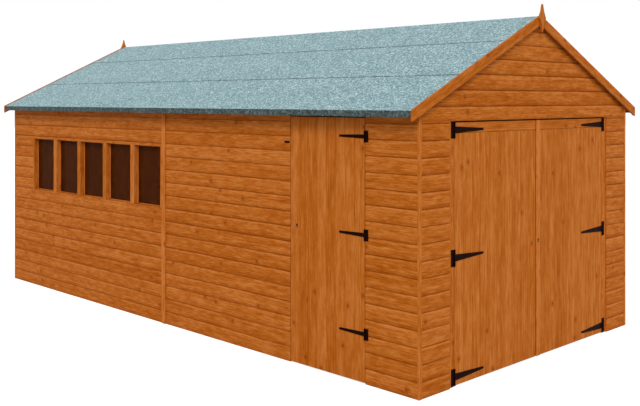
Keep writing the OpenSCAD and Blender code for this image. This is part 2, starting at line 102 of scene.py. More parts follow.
# The rail across the top of a front leaf, and the groove under it
LEAF_RAIL_H = 77 * MM
LEAF_RAIL_GROOVE = 2 * MM

# A timber behind a door that rises more than this is a brace, and otherwise it is a ledge
LEDGE_H_MAX = 150 * MM

# Battens behind the cladding, the tie rail of a gable, and the cladding's lap on a door post
BATTEN = 45 * MM
MID_RAIL = 960 * MM
STUD_PITCH = 560 * MM
GABLE_RAIL_H = 70 * MM
POST_LAP = 30 * MM

# The row of windows: its lights, the uprights between them, its ends and its glazing beads
LIGHTS = 5
MULLION_W = 65 * MM
ROW_END = 30 * MM
BEAD = 9 * MM

# How near counts as meeting: in metres at a cut, or as a share of a course or of a bay
NEARLY = 1e-6


def on_side(v, side):
    """A vector given for the right of the building, turned over where side is less than 0."""
    return Vector((v.x if side > 0 else -v.x, v.y, v.z))


# ---------------------------------------------------------------- timber

def grain_basis(along, face):
    """Board axes: along the grain, across the board's face, and into its thickness."""
    a = along.normalized()
    d = face - face.dot(a) * a
    d.normalize()
    return a, d.cross(a), d


class Seed:
    """Where a board was cut from the log, how dark it took the stain, and how strong its painted shade is.
    """

    def __init__(self):
        self.shift = Vector((random.uniform(0, 40), random.uniform(-0.04, 0.04), random.uniform(0.02, 0.11)))
        self.tint = random.gauss(0, 1)
        self.painted_shade_strength = random.uniform(0.45, 1.0)


def stamp(piece, along, face, centre, seed, painted_shade=None):
    """Gives each point its place in the log, in metres, the board's tint, and the painted shade or highlight
    there.
    """
    a, b, d = grain_basis(along, face)
    grain, tint, pool = new_layers(piece)
    for v in piece.verts:
        p = v.co - centre
        v[grain] = Vector((p.dot(a), p.dot(b), p.dot(d))) + seed.shift
        v[tint] = seed.tint
        v[pool] = painted_shade(v.co) * seed.painted_shade_strength if painted_shade else 0.0


def new_layers(piece):
    """The grain, tint and painted shade layers that the softwood reads."""
    layers = piece.verts.layers
    return layers.float_vector.new("grain"), layers.float.new("tint"), layers.float.new("pool")


def trim(piece, point, outwards):
    """Cuts away what lies on the outer side of a plane and closes the cut."""
    geom = piece.verts[:] + piece.edges[:] + piece.faces[:]
    cut = bmesh.ops.bisect_plane(piece, geom=geom, dist=NEARLY, plane_co=point, plane_no=outwards,
                                 clear_outer=True)
    rim = [e for e in cut["geom_cut"] if isinstance(e, bmesh.types.BMEdge)]
    if rim:
        bmesh.ops.contextual_create(piece, geom=rim)


def block(piece, a, b):
    """A box between two opposite corners."""
    lo = Vector([min(p) for p in zip(a, b)])
    hi = Vector([max(p) for p in zip(a, b)])
    size = hi - lo
    made = bmesh.ops.create_cube(piece, size=1.0)
    bmesh.ops.scale(piece, verts=made["verts"], vec=size)
    bmesh.ops.translate(piece, verts=made["verts"], vec=(lo + hi) / 2)


def prism(piece, outline, sweep):
    """A flat outline of points carried along a vector."""
    verts = [piece.verts.new(p) for p in outline]
    face = piece.faces.new(verts)
    made = bmesh.ops.extrude_face_region(piece, geom=[face])
    moved = [g for g in made["geom"] if isinstance(g, bmesh.types.BMVert)]
    bmesh.ops.translate(piece, verts=moved, vec=sweep)


def ease(piece, width, keep=None):
    """Takes the sharpness off a piece's edges, or off those that keep() picks."""
    edges = [e for e in piece.edges if keep is None or keep(e)]
    bmesh.ops.bevel(piece, geom=edges, offset=width, offset_type="OFFSET", affect="EDGES",
                    segments=1, profile=0.5, material=-1, clamp_overlap=True)


def add(into, piece, along, face, seed=None, centre=None, painted_shade=None):
    """Finishes one board and adds it to a joined mesh."""
    bmesh.ops.recalc_face_normals(piece, faces=piece.faces[:])
    if centre is None:
        centre = sum((v.co for v in piece.verts), Vector()) / len(piece.verts)
    stamp(piece, along, face, centre, seed or Seed(), painted_shade)
    join(into, piece)


def join(into, piece):
    """Moves one board into a joined mesh."""
    mesh = bpy.data.meshes.new("part")
    piece.to_mesh(mesh)
    into.from_mesh(mesh)
    bpy.data.meshes.remove(mesh)
    piece.free()


def stick(into, a, b, along, face, cuts=(), edge=EDGE, seed=None, centre=None):
    """A sawn batten or board between two corners, with eased edges."""
    piece = bmesh.new()
    block(piece, a, b)
    for point, outwards in cuts:
        trim(piece, point, outwards)
    if edge:
        ease(piece, edge)
    add(into, piece, along, face, seed, centre)


def new_joined():
    """An empty mesh that boards are added to."""
    into = bmesh.new()
    new_layers(into)
    return into


def finish_piece(name, into, material, body="root", nodes=()):
    """Makes a joined mesh a piece of the model: what it rides on, and the nodes it replaces."""
    mesh = bpy.data.meshes.new(name)
    into.to_mesh(mesh)
    into.free()
    mesh.materials.append(material)
    for face in mesh.polygons:
        face.use_smooth = False
    piece = bpy.data.objects.new(name, mesh)
    bpy.context.scene.collection.objects.link(piece)
    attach(piece, body)
    if nodes:
        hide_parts(*nodes)
    return piece


# ---------------------------------------------------------------- materials

def rgb(hex_colour):
    """An sRGB hex colour as linear RGBA."""
    values = [int(hex_colour[i:i + 2], 16) / 255 for i in (1, 3, 5)]
    linear = [v / 12.92 if v <= 0.04045 else ((v + 0.055) / 1.055) ** 2.4 for v in values]
    return (*linear, 1.0)


def add_node(tree, kind, settings=None, inputs=None, **links):
    """Adds a shader node of a kind: its properties, its socket values, and what leads to it.

    A link is named for the socket it goes to, or for the socket's number after an s. It comes from
    a socket, or from a node's first one. A colour ramp takes its stops from the settings.
    """
    made = tree.nodes.new("ShaderNode" + kind)
    for key, value in (settings or {}).items():
        if key == "stops":
            elements = made.color_ramp.elements
            while len(elements) < len(value):
                elements.new(0.5)
            for element, (position, hex_colour) in zip(elements, value):
                element.position = position
                element.color = rgb(hex_colour)
        else:
            setattr(made, key, value)
    for key, value in (inputs or {}).items():
        made.inputs[key].default_value = value
    for key, source in links.items():
        socket = int(key[1:]) if key[0] == "s" and key[1:].isdigit() else key.replace("_", " ")
        if isinstance(source, bpy.types.Node):
            source = source.outputs[0]
        tree.links.new(source, made.inputs[socket])
    return made


def new_material(name, constants):
    """A material with its node tree and shader, whose plain values are set."""
    material = bpy.data.materials.new(name)
    material.use_nodes = True
    tree = material.node_tree
    shader = tree.nodes["Principled BSDF"]
    for key, value in constants.items():
        shader.inputs[key].default_value = value
    return material, tree, shader


def softwood(name, stains, streak_length, streak_weight, roughness):
    """Flat-sawn spruce: arched growth rings, fine fibres, round knots, and a tint a board.

    Stain lies darkest in the late wood and in the knots. Shade is painted into each lap and V joint,
    and a highlight below each lap, so the eye reads warm orange boards with thin brown lines between them.
    """
    pale, middle, dark, painted_shade, knot = stains
    material, tree, shader = new_material(name, {"Roughness": roughness, "IOR": 1.45,
                                                 "Specular IOR Level": 0.05})
    grain = add_node(tree, "Attribute", {"attribute_name": "grain"}).outputs["Vector"]
    tint = add_node(tree, "Attribute", {"attribute_name": "tint"}).outputs["Fac"]
    pool = add_node(tree, "Attribute", {"attribute_name": "pool"}).outputs["Fac"]

    # Knots 15 to 25 mm across, about one in a metre of board, that go right through it
    place = add_node(tree, "Mapping", inputs={"Scale": (6.5, 7.5, 1.0)}, Vector=grain)
    cell = add_node(tree, "TexVoronoi", {"feature": "F1", "voronoi_dimensions": "2D"},
                    {"Scale": 1.0, "Randomness": 1.0}, Vector=place)
    chance = add_node(tree, "SeparateColor", Color=cell.outputs["Color"])
    present = add_node(tree, "Math", {"operation": "GREATER_THAN"}, {1: 0.915}, s0=chance)
    swirl = add_node(tree, "MapRange", {"interpolation_type": "SMOOTHSTEP"},
                     {"From Min": 0.30, "From Max": 0.02}, Value=cell.outputs["Distance"])
    swirl = add_node(tree, "Math", {"operation": "MULTIPLY"}, s0=swirl, s1=present).outputs[0]
    core = add_node(tree, "MapRange", {"interpolation_type": "SMOOTHSTEP"},
                    {"From Min": 0.11, "From Max": 0.05}, Value=cell.outputs["Distance"])
    core = add_node(tree, "Math", {"operation": "MULTIPLY"}, s0=core, s1=present).outputs[0]

    # Rings 4 mm apart about the heart of the log, pushed aside by each knot
    push = add_node(tree, "VectorMath", {"operation": "SCALE"}, {0: (0.0, 0.014, 0.010)}, Scale=swirl)
    bent = add_node(tree, "VectorMath", {"operation": "MULTIPLY_ADD"}, {1: (0.16, 1.0, 1.0)},
                    s0=grain, s2=push)
    rings = add_node(tree, "TexWave",
                     {"wave_type": "RINGS", "rings_direction": "X", "wave_profile": "SIN"},
                     {"Scale": 2 * math.pi / (20 * 4 * MM), "Distortion": 7.0, "Detail": 2.0,
                      "Detail Scale": 0.16, "Detail Roughness": 0.6}, Vector=bent)

    # Cycles a metre along, across and into the board: fibres 2.5 mm apart, streaks 10 mm, bands
    # 40 mm and soft blotches where the stain took unevenly
    tone = add_node(tree, "Math", {"operation": "MULTIPLY_ADD"}, {1: 0.022, 2: -0.38}, s0=tint)
    # The rings, and the painted shade and highlight at the laps, move the tone
    for part, weight in ((rings.outputs["Fac"], 0.12), (pool, 0.13)):
        tone = add_node(tree, "Math", {"operation": "MULTIPLY_ADD"}, {1: weight}, s0=part, s2=tone)
    fibres = None
    for scale, detail, weight in (((30.0, 420.0, 420.0), 3.0, 0.30),
                                  ((1 / streak_length, 95.0, 70.0), 4.0, streak_weight),
                                  ((2.0, 26.0, 20.0), 3.0, 0.34), ((7.0, 22.0, 8.0), 3.0, 0.40)):
        place = add_node(tree, "Mapping", inputs={"Scale": scale}, Vector=grain)
        part = add_node(tree, "TexNoise",
                        inputs={"Scale": 1.0, "Detail": detail, "Roughness": 0.62}, Vector=place)
        tone = add_node(tree, "Math", {"operation": "MULTIPLY_ADD"}, {1: weight}, s0=part, s2=tone)
        fibres = fibres or part
    # Heavier streaks leave the middle tone where it was
    tone = add_node(tree, "Math", {"operation": "SUBTRACT"}, {1: 0.5 * (streak_weight - 0.52)}, s0=tone)
    colour = add_node(tree, "ValToRGB", {"stops": [(0.30, pale), (0.50, middle), (0.72, dark)]},
                      Fac=tone).outputs[0]

    # Knots darken with their own stain, and the last mix paints shade into the laps and joints
    for weight, amount, stain in ((0.60, swirl, dark), (0.42, core, knot), (0.60, pool, painted_shade)):
        share = add_node(tree, "Math", {"operation": "MULTIPLY"}, {1: weight}, s0=amount)
        colour = add_node(tree, "Mix", {"data_type": "RGBA"}, {7: rgb(stain)},
                          s0=share, s6=colour).outputs[2]
    tree.links.new(colour, shader.inputs["Base Color"])
    relief = add_node(tree, "Bump", inputs={"Strength": 0.35, "Distance": 0.5 * MM}, Height=fibres)
    tree.links.new(relief.outputs[0], shader.inputs["Normal"])
    return material


def mineral_felt(name, dark, middle, pale):
    """Bitumen felt dressed with crushed slate: a matt blue green, speckled with pale grains."""
    material, tree, shader = new_material(name, {"Roughness": 0.95, "Specular IOR Level": 0.15})
    place = add_node(tree, "TexCoord").outputs["Object"]
    # Grains are 1 to 2 mm; the clusters that they settle in are drawn at 14 and 30 mm to show
    grit = add_node(tree, "TexVoronoi", {"feature": "F1"}, {"Scale": 1 / (2.5 * MM)}, Vector=place)
    grit = add_node(tree, "SeparateColor", Color=grit.outputs["Color"])
    clusters = add_node(tree, "TexNoise", inputs={"Scale": 1 / (14 * MM), "Detail": 1.0}, Vector=place)
    drifts = add_node(tree, "TexNoise", inputs={"Scale": 1 / (30 * MM), "Detail": 1.0}, Vector=place)
    clouds = add_node(tree, "TexNoise", inputs={"Scale": 5.0, "Detail": 3.0}, Vector=place)
    tone = None
    for part, weight in ((clusters, 0.80), (grit, 0.24), (drifts, 0.34), (clouds, 0.10)):
        tone = add_node(tree, "Math", {"operation": "MULTIPLY_ADD"}, {1: weight, 2: 0.0},
                        s0=part, **({"s2": tone} if tone else {}))
        if part is grit:
            rough = add_node(tree, "Bump", inputs={"Strength": 0.5, "Distance": 1.2 * MM}, Height=tone)
    colour = add_node(tree, "ValToRGB",
                      {"stops": [(0.53, dark), (0.69, middle), (0.79, middle), (0.89, pale)]},
                      Fac=tone)
    tree.links.new(colour.outputs[0], shader.inputs["Base Color"])
    tree.links.new(rough.outputs[0], shader.inputs["Normal"])
    return material


def japanned_steel():
    """Pressed steel under black stoving enamel: near black, with a soft sheen where it is worn."""
    material, tree, shader = new_material("black japanned steel", {"Specular IOR Level": 0.025})
    place = add_node(tree, "TexCoord").outputs["Object"]
    # The enamel's orange peel is 4 mm across, the worn patches about 25 mm
    peel = add_node(tree, "TexNoise", inputs={"Scale": 1 / (4 * MM), "Detail": 3.0}, Vector=place)
    wear = add_node(tree, "TexNoise", inputs={"Scale": 1 / (25 * MM), "Detail": 5.0}, Vector=place)
    colour = add_node(tree, "ValToRGB", {"stops": [(0.35, "#130301"), (0.75, "#1B0703")]}, Fac=wear)
    dulled = add_node(tree, "MapRange",
                      inputs={"From Min": 0.3, "From Max": 0.7, "To Min": 0.42, "To Max": 0.62},
                      Value=wear)
    relief = add_node(tree, "Bump", inputs={"Strength": 0.15, "Distance": 0.3 * MM}, Height=peel)
    tree.links.new(colour.outputs[0], shader.inputs["Base Color"])
    tree.links.new(dulled.outputs[0], shader.inputs["Roughness"])
    tree.links.new(relief.outputs[0], shader.inputs["Normal"])
    return material


def galvanised_steel():
    """Hot-dipped zinc on nail heads: dull grey, with spangles 3 mm across."""
    material, tree, shader = new_material("galvanised steel", {"Metallic": 1.0, "Roughness": 0.55})
    place = add_node(tree, "TexCoord").outputs["Object"]
    spangle = add_node(tree, "TexNoise", inputs={"Scale": 1 / (3 * MM), "Detail": 2.0}, Vector=place)
    colour = add_node(tree, "ValToRGB", {"stops": [(0.3, "#6F6A62"), (0.7, "#9A948A")]}, Fac=spangle)
    tree.links.new(colour.outputs[0], shader.inputs["Base Color"])
    return material


def horticultural_glass():
    """Drawn 3 mm glass, mostly opaque, whose brown colour paints the dim boarded inside in shade; a little
    of the real inside shows through.
    """
    material, tree, shader = new_material(
        "horticultural glass", {"Alpha": 0.80, "Roughness": 0.12, "IOR": 1.2, "Specular IOR Level": 0.04})
    place = add_node(tree, "TexCoord").outputs["Object"]
    # Painted shade of the inside, mottled 70 mm across
    inside_shade_mottle = add_node(tree, "TexNoise", inputs={"Scale": 1 / (70 * MM), "Detail": 5.0}, Vector=place)
    colour = add_node(tree, "ValToRGB", {"stops": [(0.35, "#431C04"), (0.75, "#542708")]}, Fac=inside_shade_mottle)
    tree.links.new(colour.outputs[0], shader.inputs["Base Color"])
    return material


# Each stain from pale to dark: the wood between the rings, its middle, the late wood, the painted
# shade in laps and joints, and the knots
OUTER_STAIN = ("#CA7A38", "#B25E14", "#954403", "#7F3A04", "#6A3208")
INNER_STAIN = ("#D3964E", "#B66E2C", "#8A4A14", "#7A4012", "#54300F")
stained = softwood("dip-stained spruce", OUTER_STAIN, 0.09, 0.66, 0.60)
stained_doors = softwood("dip-stained spruce matchboard", OUTER_STAIN, 0.25, 0.42, 0.60)
stained_inner = softwood("dip-stained spruce battens", INNER_STAIN, 0.11, 0.52, 0.70)
felt_green = mineral_felt("green mineral felt", "#59757B", "#809DA2", "#C0D5D8")
# A darker copy of the felt paints the shade on its turned-down edges and undersides
felt_painted_shade = mineral_felt("green mineral felt, turned edge, painted shade", "#2A3235", "#44514F", "#6C7A7C")
iron = japanned_steel()
zinc = galvanised_steel()
bitumen = mineral_felt("bitumen adhesive", "#4A5C60", "#66797E", "#8A9CA0")
glass = horticultural_glass()


# ---------------------------------------------------------------- shiplap cladding

def roof_cut(side):
    """The plane under the roof boards, as a point and the way out of it; side is 1 right, -1 left."""
    return Vector((0, 0, ridge_under)), on_side(RIGHT_OUT, side)


both_slopes = [roof_cut(1), roof_cut(-1)]


def shiplap_outline():
    """Depth and height points of one course: an eased foot, a flat face and a scooped head."""
    steps = 5
    points = [(EDGE, 0), (0, EDGE), (0, PAINTED_FOOT_SHADE_H), (0, COVER - SCOOP_H - PAINTED_HIGHLIGHT_H)]
    for i in range(steps + 1):
        turn = i / steps * math.pi / 2
        points.append((SCOOP_D * math.sin(turn), COVER - SCOOP_H * math.cos(turn)))
    return points + [(cladding_t, COVER), (cladding_t, 0)]


OUTLINE = shiplap_outline()


class Wall:
    """A wall's outer face: its origin, the way along it and the way into it."""

    def __init__(self, origin, along, inwards):
        self.origin, self.along, self.inwards = Vector(origin), Vector(along), Vector(inwards)

    def at(self, u, depth, z):
        """The point that lies u along the wall, depth into it and z up."""
        return self.origin + self.along * u + self.inwards * depth + UP * z

    def painted_shade(self, p):
        """How much shade is painted at a point of a course.

        Most lies up in its scoop, under the lip of the course above, some along its foot, and less than
        none, a painted highlight, on the arris between its face and its scoop.
        """
        depth = (p - self.origin).dot(self.inwards)
        height = (p.z + EDGE / 4) % COVER
        if depth > SCOOP_D + 0.1 * MM:
            return 0.0
        if height > COVER - SCOOP_H - MM:
            return max(-0.9, min(1.0, (depth / SCOOP_D - 0.65) / 0.3))
        return 0.55 if height < PAINTED_FOOT_SHADE_H / 2 else 0.0

    def course(self, into, parts, foot, cuts=()):
        """One course of shiplap; its parts (start, end, bottom, top) are cut from the same board."""
        seed = Seed()
        start = min(p[0] for p in parts)
        end = max(p[1] for p in parts)
        centre = self.at((start + end) / 2, 0, foot + COVER / 2)
        for u0, u1, z0, z1 in parts:
            piece = bmesh.new()
            prism(piece, [self.at(u0, d, foot + z) for d, z in OUTLINE], self.along * (u1 - u0))
            if z0 > foot + EDGE:
                trim(piece, self.at(0, 0, z0), -UP)
            if z1 < foot + COVER:
                trim(piece, self.at(0, 0, z1), UP)
            for point, outwards in cuts:
                trim(piece, point, outwards)
            if piece.faces:
                add(into, piece, self.along, self.inwards, seed, centre, self.painted_shade)
            else:
                piece.free()

    def clad(self, into, u0, u1, z0, z1, hole=None, cuts=()):
        """Courses over a stretch of wall, with an oblong hole left out."""
        first = int(z0 / COVER + NEARLY)
        last = math.ceil(z1 / COVER - NEARLY)
        for k in range(first, last):
            foot = k * COVER
            bottom, top = max(foot, z0), min(foot + COVER, z1)
            parts = [(u0, u1, bottom, top)]
            if hole and hole[2] < top and hole[3] > bottom:
                h0, h1, hz0, hz1 = hole
                parts = [(u0, h0, bottom, top), (h1, u1, bottom, top)]
                if hz0 > bottom:
                    parts.append((h0, h1, bottom, hz0))
                if hz1 < top:
                    parts.append((h0, h1, hz1, top))
            self.course(into, parts, foot, cuts)


left_wall = Wall((-half_w, 0, 0), (0, 1, 0), (1, 0, 0))
right_wall = Wall((half_w, 0, 0), (0, 1, 0), (-1, 0, 0))
front_wall = Wall((0, -half_l, 0), (1, 0, 0), (0, 1, 0))
rear_wall = Wall((0, half_l, 0), (1, 0, 0), (0, -1, 0))
top_z = high("left_rear_cladding").z
door_y0, door_y1 = low("left_door_head_cladding").y, high("left_door_head_cladding").y
door_head_z = low("left_door_head_cladding").z
corner_y = -low("right_front_cladding").y
front_door_h = low("front_gable_cladding").z


def clad_side(name, wall, side, u0, u1, z0=0.0, hole=None, nodes=()):
    """Shiplap on a stretch of a side wall, up to the roof boards."""
    into = new_joined()
    wall.clad(into, u0, u1, z0, top_z, hole, [roof_cut(side)])
    finish_piece(name, into, stained, nodes=nodes)


window_low, window_high = low("window_frame"), high("window_frame")
window_hole = (window_low.y, window_high.y, window_low.z, window_high.z)
clad_side("left_rear_shiplap", left_wall, -1, joint_y, corner_y, hole=window_hole,
          nodes=["left_rear_cladding"])
clad_side("left_front_shiplap", left_wall, -1, door_y1, joint_y, nodes=["left_front_cladding"])
clad_side("left_corner_shiplap", left_wall, -1, -corner_y, door_y0)
clad_side("left_door_head_shiplap", left_wall, -1, door_y0, door_y1, door_head_z,
          nodes=["left_door_head_cladding"])
clad_side("right_rear_shiplap", right_wall, 1, joint_y, corner_y, nodes=["right_rear_cladding"])
clad_side("right_front_shiplap", right_wall, 1, -corner_y, joint_y, nodes=["right_front_cladding"])


def clad_ends():
    """Shiplap beside the front doors, in the gable over them, and over the rear wall."""
    outer = high("front_side_cladding").x
    # The cladding beside the doors ends where the bare post begins
    inner = inner_x("front_side_cladding")
    into = new_joined()
    for x0, x1 in ((-outer, -inner), (inner, outer)):
        front_wall.clad(into, x0, x1, 0, front_door_h)
    finish_piece("front_side_shiplap", into, stained, nodes=["front_side_cladding"])
    gable_low, gable_high = low("front_gable_cladding"), high("front_gable_cladding")
    into = new_joined()
    front_wall.clad(into, gable_low.x, gable_high.x, front_door_h, gable_high.z, cuts=both_slopes)
    finish_piece("front_gable_shiplap", into, stained, nodes=["front_gable_cladding"])
    into = new_joined()
    rear_wall.clad(into, gable_low.x, gable_high.x, 0, gable_high.z, cuts=both_slopes)
    finish_piece("rear_shiplap", into, stained, nodes=["rear_cladding"])


clad_ends()


# ---------------------------------------------------------------- doors

def door_boards(into, wall, u0, u1, z0, z1, count, thickness):
    """Upright tongued and grooved boards with a small V at each joint, and painted shade down each V."""
    pitch = (u1 - u0) / count

    def depth(p):
        return (p - wall.origin).dot(wall.inwards)

    def on_face(e):
        rise = abs((e.verts[0].co - e.verts[1].co).normalized().z)
        return rise > 0.9 and all(abs(depth(v.co)) < 0.01 * MM for v in e.verts)

    # Shade is painted at the bottom of each V
    def shade_in_joint(p):
        return float(depth(p) > MM)

    for i in range(count):
        piece = bmesh.new()
        block(piece, wall.at(u0 + i * pitch, 0, z0), wall.at(u0 + (i + 1) * pitch, thickness, z1))
        ease(piece, DOOR_V, on_face)
        add(into, piece, UP, wall.inwards, painted_shade=shade_in_joint)


def side_door():
    """The matchboards of the side door."""
    lo, hi = low("side_door_boards"), high("side_door_boards")
    into = new_joined()
    door_boards(into, left_wall, lo.y, hi.y, lo.z, hi.z, SIDE_DOOR_BOARDS, hi.x - lo.x)
    finish_piece("side_door_matchboards", into, stained_doors, "side_door", nodes=["side_door_boards"])


def front_leaf(name, body, boards_node):
    """The matchboards of a front leaf, and the rail across its top."""
    lo, hi = low(boards_node), high(boards_node)
    face = Wall((0, lo.y, 0), (1, 0, 0), (0, 1, 0))
    rail_z = hi.z - LEAF_RAIL_H
    into = new_joined()
    door_boards(into, face, lo.x, hi.x, lo.z, rail_z - LEAF_RAIL_GROOVE, LEAF_BOARDS, hi.y - lo.y)
    stick(into, (lo.x, lo.y, rail_z), hi, ALONG_X, ALONG_Y)
    finish_piece(name, into, stained_doors, body, nodes=[boards_node])


side_door()
front_leaf("left_leaf_matchboards", "left_leaf", "left_leaf_boards")
front_leaf("right_leaf_matchboards", "right_leaf", "right_leaf_boards")


def merged_copy(node_name):
    """A CAD node's mesh with its loose triangles joined and flat faces made whole."""
    copy = bmesh.new()
    copy.from_mesh(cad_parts[node_name].data)
    bmesh.ops.remove_doubles(copy, verts=copy.verts[:], dist=0.01 * MM)
    bmesh.ops.dissolve_limit(copy, angle_limit=0.01, verts=copy.verts[:], edges=copy.edges[:])
    return copy


def solids_of(mesh):
    """The separate solids of a mesh, each as a list of its verts."""
    seen, found = set(), []
    for first in mesh.verts:
        if first in seen:
            continue
        seen.add(first)
        group = [first]
        for v in group:
            for e in v.link_edges:
                other = e.other_vert(v)
                if other not in seen:
                    seen.add(other)
                    group.append(other)
        found.append(group)
    return found


def solid_points(node_name):
    """The points of each solid of a CAD node."""
    copy = merged_copy(node_name)
    found = [[v.co.copy() for v in group] for group in solids_of(copy)]
    copy.free()
    return found


def timber_copy(name, node_name, along_of, face, material=stained, body="root", edge=EDGE,
                tint=None):
    """A CAD node of straight timbers with eased edges and grain along each solid."""
    copy = merged_copy(node_name)
    into = new_joined()
    for group in solids_of(copy):
        piece = bmesh.new()
        twin = {v: piece.verts.new(v.co) for v in group}
        for f in dict.fromkeys(f for v in group for f in v.link_faces):
            piece.faces.new([twin[v] for v in f.verts])
        points = [v.co.copy() for v in piece.verts]
        ease(piece, edge)
        seed = Seed()
        if tint is not None:
            seed.tint = tint
        add(into, piece, along_of(points), face, seed)
    copy.free()
    finish_piece(name, into, material, body, [node_name])


def longest(points):
    """The building's axis that a timber is longest on."""
    size = Vector([max(p[i] for p in points) - min(p[i] for p in points) for i in range(3)])
    axis = max(range(3), key=lambda i: size[i])
    return Vector([1.0 if i == axis else 0.0 for i in range(3)])


def upright(points):
    """Up, whatever the timber's own shape."""
    return UP


def middle_of(points):
    """The mean of some points."""
    return sum(points, Vector()) / len(points)


def slanted(points):
    """Along a ledge, or from foot to head of a brace."""
    z_low, z_high = min(p.z for p in points), max(p.z for p in points)
    if z_high - z_low < LEDGE_H_MAX:
        return longest(points)
    foot = middle_of([p for p in points if p.z < z_low + MM])
    top = middle_of([p for p in points if p.z > z_high - MM])
    return top - foot


def down_slope(points):
    """Down the slope of the roof on the timber's side of the ridge."""
    return on_side(RIGHT_DOWN, middle_of(points).x)


for door, face in (("side_door", ALONG_X), ("left_leaf", ALONG_Y), ("right_leaf", ALONG_Y)):
    timber_copy(door + "_ledges_and_braces", door + "_ledges", slanted, face, stained_inner, door)
# The strips are drawn lighter than the boards
timber_copy("closing_strip", "meeting_strip", upright, ALONG_Y, body="right_leaf", edge=2 * MM, tint=-4.5)
timber_copy("corner_boards", "corner_strips", upright, ALONG_Y)
timber_copy("cover_strips", "panel_joint_strips", upright, ALONG_X, edge=1.5 * MM, tint=-3)
timber_copy("barge_boards", "bargeboards", down_slope, ALONG_Y)
timber_copy("gable_finials", "finials", upright, ALONG_Y)
timber_copy("purlins", "roof_purlins", longest, RIGHT_OUT, stained_inner)
timber_copy("ridge_purlin", "ridge_beam", longest, UP, stained_inner)
timber_copy("tie_beam", "truss_tie_beam", longest, ALONG_Y, stained_inner)
timber_copy("rafters", "truss_rafters", down_slope, ALONG_Y, stained_inner)
timber_copy("eaves_fascias", "eaves_battens", longest, ALONG_X)


# ---------------------------------------------------------------- wall frames

def sticks_on(into, wall, sticks, cuts=()):
    """Battens given as (u0, u1, z0, z1) on a wall, with grain along the longer way of each."""
    for u0, u1, z0, z1 in sticks:
        along = UP if z1 - z0 > u1 - u0 else wall.along
        stick(into, wall.at(u0, cladding_t, z0), wall.at(u1, frame_back, z1), along, wall.inwards, cuts)


wall_plate = ridge_under - half_w * slope - BATTEN + cladding_t * slope
plate_top = ridge_under - (half_w - frame_back) * slope
inner_l = half_l - frame_back
reach = half_w - cladding_t


def stud_starts(u0, u1):
    """Where each stud begins between two ends of a wall, evenly and no wider than the stud pitch."""
    bays = math.ceil((u1 - u0 - BATTEN) / STUD_PITCH - NEARLY)
    return [u0 + i * (u1 - u0 - BATTEN) / bays for i in range(bays + 1)]


def rail(u0, u1):
    """The head rail under the roof boards."""
    return [(u0, u1, wall_plate, plate_top)]


def bay_sticks(u0, u1):
    """The battens of one panel: sole and middle rails, studs between them, and the head rail."""
    sticks = [(u0, u1, z, z + BATTEN) for z in (0, MID_RAIL)]
    for u in stud_starts(u0, u1):
        sticks += [(u, u + BATTEN, BATTEN, MID_RAIL), (u, u + BATTEN, MID_RAIL + BATTEN, wall_plate)]
    return sticks + rail(u0, u1)


def window_sticks():
    """The battens of the panel that holds the windows, clear of the row."""
    y0, y1, z0, z1 = window_hole
    sill, lintel = z0 - BATTEN, z1 + BATTEN
    sticks = [(joint_y, inner_l, 0, BATTEN), (joint_y, inner_l, sill, z0),
              (joint_y, y1 + BATTEN, z1, lintel), (joint_y, y0, BATTEN, sill), (joint_y, y0, z0, z1),
              (joint_y, y0, lintel, wall_plate),
              (y1, y1 + BATTEN, BATTEN, sill), (y1, y1 + BATTEN, z0, z1),
              (y1, y1 + BATTEN, lintel, wall_plate),
              (inner_l - BATTEN, inner_l, BATTEN, sill), (inner_l - BATTEN, inner_l, z0, wall_plate)]
    light_pitch = (y1 - y0 - 2 * ROW_END + MULLION_W) / LIGHTS
    for i in range(1, LIGHTS):
        u = y0 + ROW_END + i * light_pitch - MULLION_W / 2 - BATTEN / 2
        sticks += [(u, u + BATTEN, BATTEN, sill), (u, u + BATTEN, lintel, wall_plate)]
    return sticks + rail(joint_y, inner_l)


def side_frames():
    """The batten frames of both side walls, and the board over the side door."""
    for name, node_name, wall, side, sticks in (
            ("right_rear_battens", "right_rear_frame", right_wall, 1, bay_sticks(joint_y, inner_l)),
            ("right_front_battens", "right_front_frame", right_wall, 1, bay_sticks(-inner_l, joint_y)),
            ("left_front_battens", "left_front_frame", left_wall, -1,
             bay_sticks(door_y1, joint_y) + bay_sticks(-inner_l, door_y0)),
            ("left_door_lintel_board", "left_door_lintel", left_wall, -1,
             [(door_y0, door_y1, door_head_z, plate_top)]),
            ("left_rear_battens", "left_rear_frame", left_wall, -1, window_sticks())):
        into = new_joined()
        sticks_on(into, wall, sticks, [roof_cut(side)])
        finish_piece(name, into, stained_inner, nodes=[node_name])


side_frames()


def sloping_rails(into, wall, foot, rail_v):
    """The two rails of a gable that lie under the roof boards and stop on a level rail."""
    under = ridge_under - reach * slope
    for side in (1, -1):
        piece = bmesh.new()
        outline = [(0, ridge_under), (side * reach, under), (side * reach, under - rail_v),
                   (0, ridge_under - rail_v)]
        prism(piece, [wall.at(u, cladding_t, z) for u, z in outline],
              wall.inwards * (frame_back - cladding_t))
        trim(piece, Vector((0, 0, foot)), -UP)
        bmesh.ops.recalc_face_normals(piece, faces=piece.faces[:])
        ease(piece, EDGE)
        add(into, piece, on_side(RIGHT_DOWN, side), wall.inwards)


